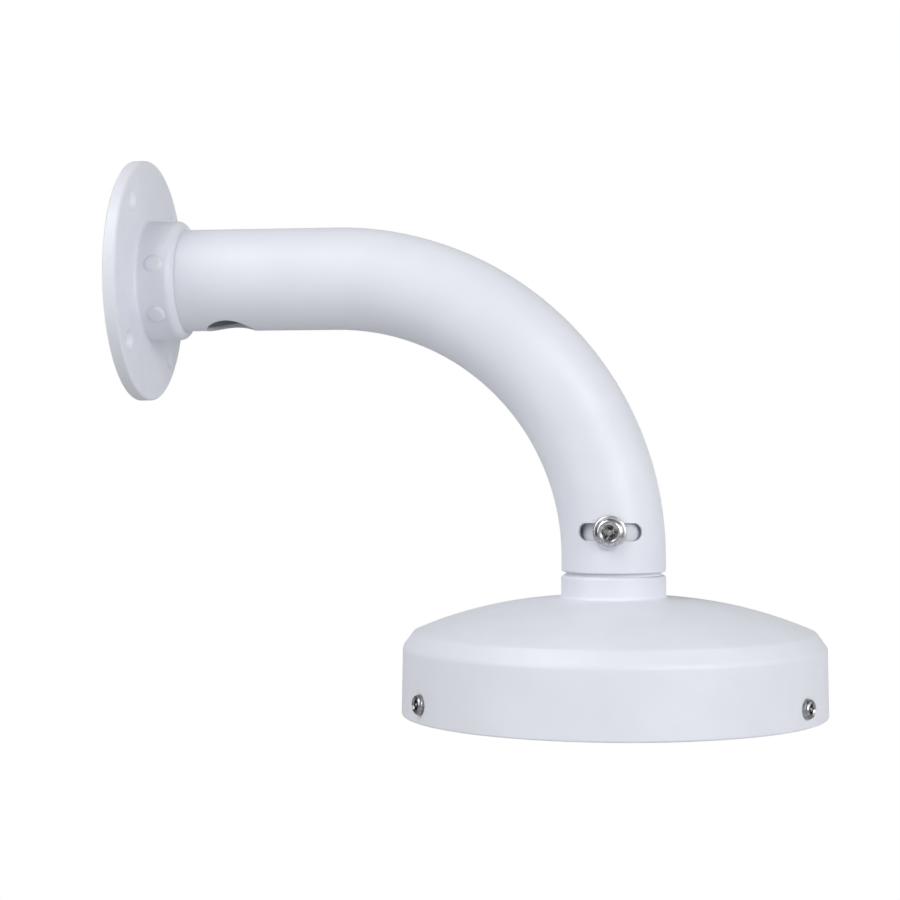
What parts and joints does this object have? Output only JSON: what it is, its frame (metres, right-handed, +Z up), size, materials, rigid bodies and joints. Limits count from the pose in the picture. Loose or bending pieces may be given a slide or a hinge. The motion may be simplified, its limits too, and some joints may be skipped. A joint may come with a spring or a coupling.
{
  "type": "camera wall bracket",
  "caption": "White wall bracket for a dome camera: round wall plate, tube bent down through a right angle, and a round canopy that swivels on the tube's mouth.",
  "frame": {"origin": "centre of the wall plate's back face, where it meets the wall", "axes": "+X out from the wall along the tube, +Z up, the swivel slot and its clamp screw on the -Y side"},
  "size_m": [0.2564, 0.1567, 0.2048],
  "materials": {
    "painted_casting": "cast aluminium under smooth white powder coat",
    "painted_steel": "smooth white powder coat",
    "stainless_steel": "plain stainless steel"
  },
  "bodies": {
    "arm": {"wall_flange": "painted_casting", "collar_set_screws": "painted_steel", "arm_tube": "painted_steel"},
    "swivel_head": {"canopy": "painted_casting", "clamp_screw": "stainless_steel", "clamp_washer": "stainless_steel", "canopy_screws": "stainless_steel"}
  },
  "joints": [
    {"name": "canopy_swivel", "type": "hinge", "parent": "arm", "child": "swivel_head", "pos_m": [0.179, 0, -0.0931], "axis": [0, 0, 1], "range_deg": [-27, 27]}
  ]
}
